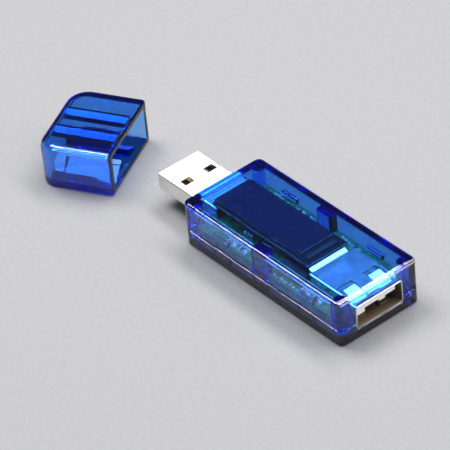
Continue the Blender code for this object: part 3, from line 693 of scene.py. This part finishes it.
socket_shell.data.polygons.foreach_set("material_index", inside.astype(int))
run = np.linspace(0, 1, 60)
tab_x = tab_front + 0.2 - run * (tab_length - 0.1)
dive = 0.40 * eased(0.02, 0.14, run) - 0.38 * np.clip((run - 0.14) / 0.6, 0, 1) + 0.25 * eased(0.86, 1.0, run)
upper_tabs, lower_tabs = [[bent_sheet(np.column_stack([tab_x, face + lift * dive]), sheet * 0.9,
                                      sy * tab_middle - half, sy * tab_middle + half) for sy in (-1, 1)]
                          for face, lift, half in ((z1 - sheet / 2, -1.0, tab_half),
                                                   (z0 + sheet / 2, 0.3, tab_half - 0.05))]
flange_length = 1.35
flange_rise = 0.5
flange_run = np.linspace(0, 1, 16)
flange_x = x0 + 0.3 - flange_length * flange_run
flange_z = z1 - sheet / 2 + flange_rise * eased(0.1, 1.3, flange_run)
flange = bent_sheet(np.column_stack([flange_x, flange_z]), sheet * 0.9, -5.6, 4.4)
# The two lower tabs take the painted shade steel as well.
socket_springs = new_piece("socket_springs", upper_tabs + [flange] + lower_tabs, steel, shade_painted_steel,
                           shares=[3, 2])
settle(socket_shell, "meter", "plated_steel", "socket_shell")
settle(socket_springs, "meter", "plated_steel")

white_plastic = moulded("white_tongue", (0.80, 0.79, 0.75), (0.90, 0.89, 0.86), 0.4)
x0, x1, y0, y1, z0, z1 = span("socket_insulator")
tongue_z0, tongue_z1 = 5.7, 7.5
tongue_half = 5.55
stop_length = 1.6
socket_tongue = new_piece("socket_tongue", [upright_block(x0 + 4.0, x1, -tongue_half, tongue_half,
                                                          tongue_z0, tongue_z1, 0.15, 0.12, 0.12)],
                          white_plastic)
carve(socket_tongue, "UNION",
      [upright_block(x0, x0 + 5.0, y0, y1, z0, z1, 0.15, 0.1, 0.1),
       upright_block(x1 - stop_length, x1 - 0.01, -5.53, -3.1, tongue_z0 - 1.0, tongue_z0 + 0.6,
                     0.15, 0.12, 0.0),
       upright_block(x1 - stop_length, x1 - 0.01, 0.9, 2.7, tongue_z0 - 0.6, tongue_z0 + 0.6,
                     0.15, 0.12, 0.0)])
settle(socket_tongue, "meter", "white_plastic", "socket_insulator")
for number in (1, 2, 3, 4):
    x0, x1, y0, y1, z0, z1 = span("socket_contact_%d" % number)
    run = np.linspace(x0, x1, 60)
    bow = 0.35 * np.sin(np.clip((run - x0 - 6.0) / (x1 - x0 - 6.4), 0, 1) * math.pi)
    contact = new_piece("socket_finger_%d" % number,
                        [bent_sheet(np.column_stack([run, (z0 + z1) / 2 - bow]), 0.2, y0, y1)], gold)
    settle(contact, "meter", "gold_plating", "socket_contact_%d" % number)


# The display: two glasses, the back one with a ledge that carries the driver chip and the printed
# leads, held off the board by a foam pad. Its film folds under it onto the board, and the front glass
# has a dark blue polariser.
def glass_black(name, colour, roughness):
    """Black backed glass with leads in fine parallel lines near its long edges and on its ledge."""
    made = finish(name, colour, roughness, Coat_Weight=0.3, Coat_Roughness=0.05)
    leads = pattern(made, "ShaderNodeTexWave", 520.0, (0.0, 1.0, 0.0), Distortion=0.6, Detail=1.0)
    leads.bands_direction = "Y"
    graded(made, leads.outputs["Fac"], [(0.55, colour), (0.9, (0.045, 0.055, 0.075))], "Base Color")
    cloud = pattern(made, "ShaderNodeTexNoise", 700.0, Detail=2.0)
    graded(made, cloud.outputs["Fac"], [(0.3, roughness * 0.7), (0.7, roughness * 1.3)], "Roughness")
    return made


back_glass = glass_black("display_leads", (0.006, 0.008, 0.014), 0.16)
x0, x1, y0, y1, z0, z1 = span("display_backplate")
backplate = new_piece("display_back_glass", [upright_block(x0, x1, y0, y1, z0, z1, 0.1, 0.04, 0.15)],
                      back_glass)
settle(backplate, "meter", "display_black", "display_backplate")
polariser = finish("navy_polariser", (0.004, 0.012, 0.05), 0.22, Coat_Weight=0.5, Coat_Roughness=0.08)
polariser_cloud = pattern(polariser, "ShaderNodeTexNoise", 120.0, (0.6, 1.0, 1.0), Detail=2.0)
graded(polariser, polariser_cloud.outputs["Fac"],
       [(0.3, (0.003, 0.010, 0.042)), (0.7, (0.006, 0.015, 0.062))], "Base Color")
polariser_grain = pattern(polariser, "ShaderNodeTexNoise", 2400.0, (0.1, 1.0, 1.0), Detail=2.0)
graded(polariser, polariser_grain.outputs["Fac"], [(0.3, 0.18), (0.7, 0.28)], "Roughness")
x0, x1, y0, y1, z0, z1 = span("display_front_glass")
front_glass = new_piece("display_window", [upright_block(x0, x1, y0, y1, z0 - 0.1, z1, 0.1, 0.0, 0.08)],
                        polariser)
settle(front_glass, "meter", "display_navy", "display_front_glass")
x0, x1, y0, y1, z0, z1 = span("display_driver_chip")
driver = new_piece("driver_chip", [upright_block(x0, x1, y0, y1, z0 - 0.1, z1, 0.04, 0.0, 0.04)], epoxy)
settle(driver, "meter", "chip_black", "display_driver_chip")

foam = finish("black_foam_pad", (0.02, 0.02, 0.021), 0.9)
cells = pattern(foam, "ShaderNodeTexVoronoi", 3600.0)
graded(foam, cells.outputs["Distance"], [(0.1, (0.010, 0.010, 0.011)), (0.7, (0.045, 0.045, 0.047))],
       "Base Color")
relief(foam, cells.outputs["Distance"], 0.06)
x0, x1, y0, y1, z0, z1 = span("display_foam")
foam_pad = new_piece("foam_pad", [upright_block(x0, x1, y0, y1, board_z1 + 0.03, z1 + 0.25,
                                                0.3, 0.1, 0.1)], foam)
settle(foam_pad, "meter", "black_foam", "display_foam")

film = finish("amber_flex", (0.52, 0.28, 0.06), 0.3)
film_leads = pattern(film, "ShaderNodeTexWave", 620.0, (0.0, 1.0, 0.0))
film_leads.bands_direction = "Y"
graded(film, film_leads.outputs["Fac"], [(0.4, (0.50, 0.26, 0.05)), (0.6, (0.66, 0.40, 0.13))], "Base Color")
x0, x1, y0, y1, z0, z1 = span("display_flex")
bend = (z1 - z0) / 2 - 0.1
turn = np.linspace(math.pi / 2, -math.pi / 2, 40)
turn_x = x1 - bend - 1.0
flat_run = np.linspace(x0, turn_x, 12, endpoint=False)
middle = (z0 + z1) / 2
path = np.concatenate([np.column_stack([flat_run[6:], np.full(6, middle + bend)]),
                       np.column_stack([turn_x + bend * np.cos(turn), middle + bend * np.sin(turn)]),
                       np.column_stack([flat_run[::-1], np.full(12, middle - bend)])])
flex = new_piece("display_film", [bent_sheet(path, 0.12, y0, y1)], film)
settle(flex, "meter", "amber_film", "display_flex")


# The upper half of the casing: the same clear blue plastic, with a flat roof over the display, a peg
# under each corner post, the pillars and the ledges that hold the board down. Its edge above the socket
# is rounded more widely than the others.
upper_rim = seam + seam_gap / 2
roof_thickness = 1.4
roof_under = case_top - roof_thickness
head = roof_under + sink
upper_rows = np.concatenate([[(upper_rim, groove_depth + hold), (upper_rim + 0.01, groove_depth - 0.02)],
                             fillet_rows(upper_rim + groove_rise, case_top, 0.0, edge_fillet)])
upper_half = new_piece("casing_upper_half",
                       [stacked_block(-case_x, case_x, -case_y, case_y, corner_radius, upper_rows)],
                       casing_plastic)
carve(upper_half, "DIFFERENCE", [upright_block(-case_x + end_wall, case_x - end_wall, -inner_y, inner_y,
                                               seam - 2, roof_under, 1.2, 0.0, inner_round)])
carve(upper_half, "UNION", [rod(x, y, post_radius, upper_rim, head) for x, y in post_places]
      + pillars(upper_rim, head) + ledges(board_z1 + 0.1, board_z1 + 1.4))
carve(upper_half, "UNION", [rod(x, y, peg_radius, seam - peg_length, upper_rim + sink, 0.15)
                            for x, y in post_places])
carve(upper_half, "DIFFERENCE", end_openings())
brow = 1.35
turn_start = 0.04
turn = np.linspace(turn_start, math.pi / 2 - turn_start, 14)
brow_line = np.column_stack([case_x - brow * (1 - np.sin(turn)), case_top - brow * (1 - np.cos(turn))])
brow_line = np.concatenate([brow_line, [(case_x + 1, brow_line[-1, 1]), (case_x + 1, case_top + 1),
                                        (brow_line[0, 0], case_top + 1)]])
carve(upper_half, "DIFFERENCE",
      [closed_solid(np.array([np.column_stack([brow_line[:, 0], np.full(len(brow_line), y), brow_line[:, 1]])
                              for y in (-case_y - 1, case_y + 1)]))])
settle(upper_half, "meter", "casing_blue", "top_shell")


# The cap: one moulding in the same plastic, a cup over the plug. Its closed end has wide round corners
# and rounds over at the top. Two ribs above and two below guide it onto the plug; their faces slope a
# little across the cap, and wide ramps lead up to the lower ones. It lies beside the plug, pulled off.
cap_length = 18.2
cap_wall = 1.4
cap_closed_radius = 4.2
cap_mouth_radius = 0.8
cap_fillet = 0.7
cap_nose = 2.6
rib_middle = 3.4
rib_half = 1.5
rib_from_mouth = 1.4
rib_slope = 0.16
ramp_foot = 6.1


def nosed_block(x0, x1, y0, y1, z0, z1, corner, low, high, nose):
    """A block with fillets, whose low X end also rounds over at its top: there it is drawn in by a
    further (nose - high) times (1 - sqrt(1 - 0.96 r r)), with r from 0 to 1 over the topmost nose."""
    straight = np.linspace(z1 - nose, z1 - high - 2 * hold, 10)[1:]
    rows = np.concatenate([fillet_rows(z0, z1 - nose, low, 0.0), np.column_stack([straight, 0 * straight]),
                           fillet_rows(z1 - high - 1.5 * hold, z1, 0.0, high)])
    rings = []
    for height, inset in rows:
        rise = max(0.0, 1 - (z1 - height) / nose)
        draw = inset + (nose - high) * (1 - math.sqrt(1 - 0.96 * rise * rise))
        outline = round_outline(x0 + draw, x1 - inset, y0 + inset, y1 - inset, np.array(corner) - inset)
        rings.append(np.column_stack([outline, np.full(len(outline), height)]))
    return closed_solid(np.array(rings))


def long_rib(section, x0, x1):
    """A bar along X whose section is the given points, (y, z). Each corner is turned in four steps: the
    corner plus 0.22 times ((1 - t)(1 - t) towards the point before + t t towards the one after)."""
    section = np.array(section)
    before, after = np.roll(section, 1, 0) - section, np.roll(section, -1, 0) - section
    before /= np.linalg.norm(before, axis=1)[:, None]
    after /= np.linalg.norm(after, axis=1)[:, None]
    t = np.linspace(0, 1, 5)[None, :, None]
    soft = 0.22 * ((1 - t) ** 2 * before[:, None] + t ** 2 * after[:, None]) + section[:, None]
    outline = soft.reshape(-1, 2)
    return closed_solid(np.array([np.column_stack([np.full(len(outline), x), outline]) for x in (x0, x1)]))


cap_plastic = clear_blue("clear_blue_cap")
cap_mouth = -case_x - 0.3
cap_closed = cap_mouth - cap_length
cap_radii = (cap_closed_radius, cap_mouth_radius, cap_mouth_radius, cap_closed_radius)
room_radii = (cap_closed_radius - cap_wall, cap_mouth_radius, cap_mouth_radius, cap_closed_radius - cap_wall)
cap = new_piece("pull_off_cap", [nosed_block(cap_closed, cap_mouth, -case_y, case_y, 0.0, case_top, cap_radii,
                                             cap_fillet, cap_fillet, cap_nose)], cap_plastic)
carve(cap, "DIFFERENCE", [nosed_block(cap_closed + cap_wall, cap_mouth + 3, -case_y + cap_wall,
                                      case_y - cap_wall, cap_wall, case_top - cap_wall, room_radii, 0.3, 0.3,
                                      cap_nose - cap_wall)])
rib_top, rib_under = case_top - cap_wall + sink, cap_wall - 0.9
upper, lower = plug_span[5] + 0.3, plug_span[4] - 0.3
rib_sections = []
for sy in (-1, 1):
    near, far = sy * rib_middle - rib_half, sy * rib_middle + rib_half
    rib_sections.append([(near, upper), (far, upper + 2 * rib_half * rib_slope), (far, rib_top),
                         (near, rib_top)])
    inner, outer = sy * (rib_middle - rib_half), sy * (ramp_foot + 0.6)
    foot = cap_wall - 0.6 * (lower - cap_wall) / (ramp_foot - rib_middle + rib_half)
    rib_sections.append([(inner, rib_under), (outer, rib_under), (outer, foot), (inner, lower)])
carve(cap, "UNION", [long_rib(section, cap_closed + cap_wall - sink, cap_mouth - rib_from_mouth)
                     for section in rib_sections])
pull = frame["joints"][0]
rest_turn = Matrix.Rotation(-math.radians(pull["range_deg"][0]), 4, "Z")
hinge = Matrix.Translation(pull["pos_m"])
cap.data.transform(hinge @ rest_turn @ hinge.inverted())
settle(cap, "cap", "casing_blue", "cap")
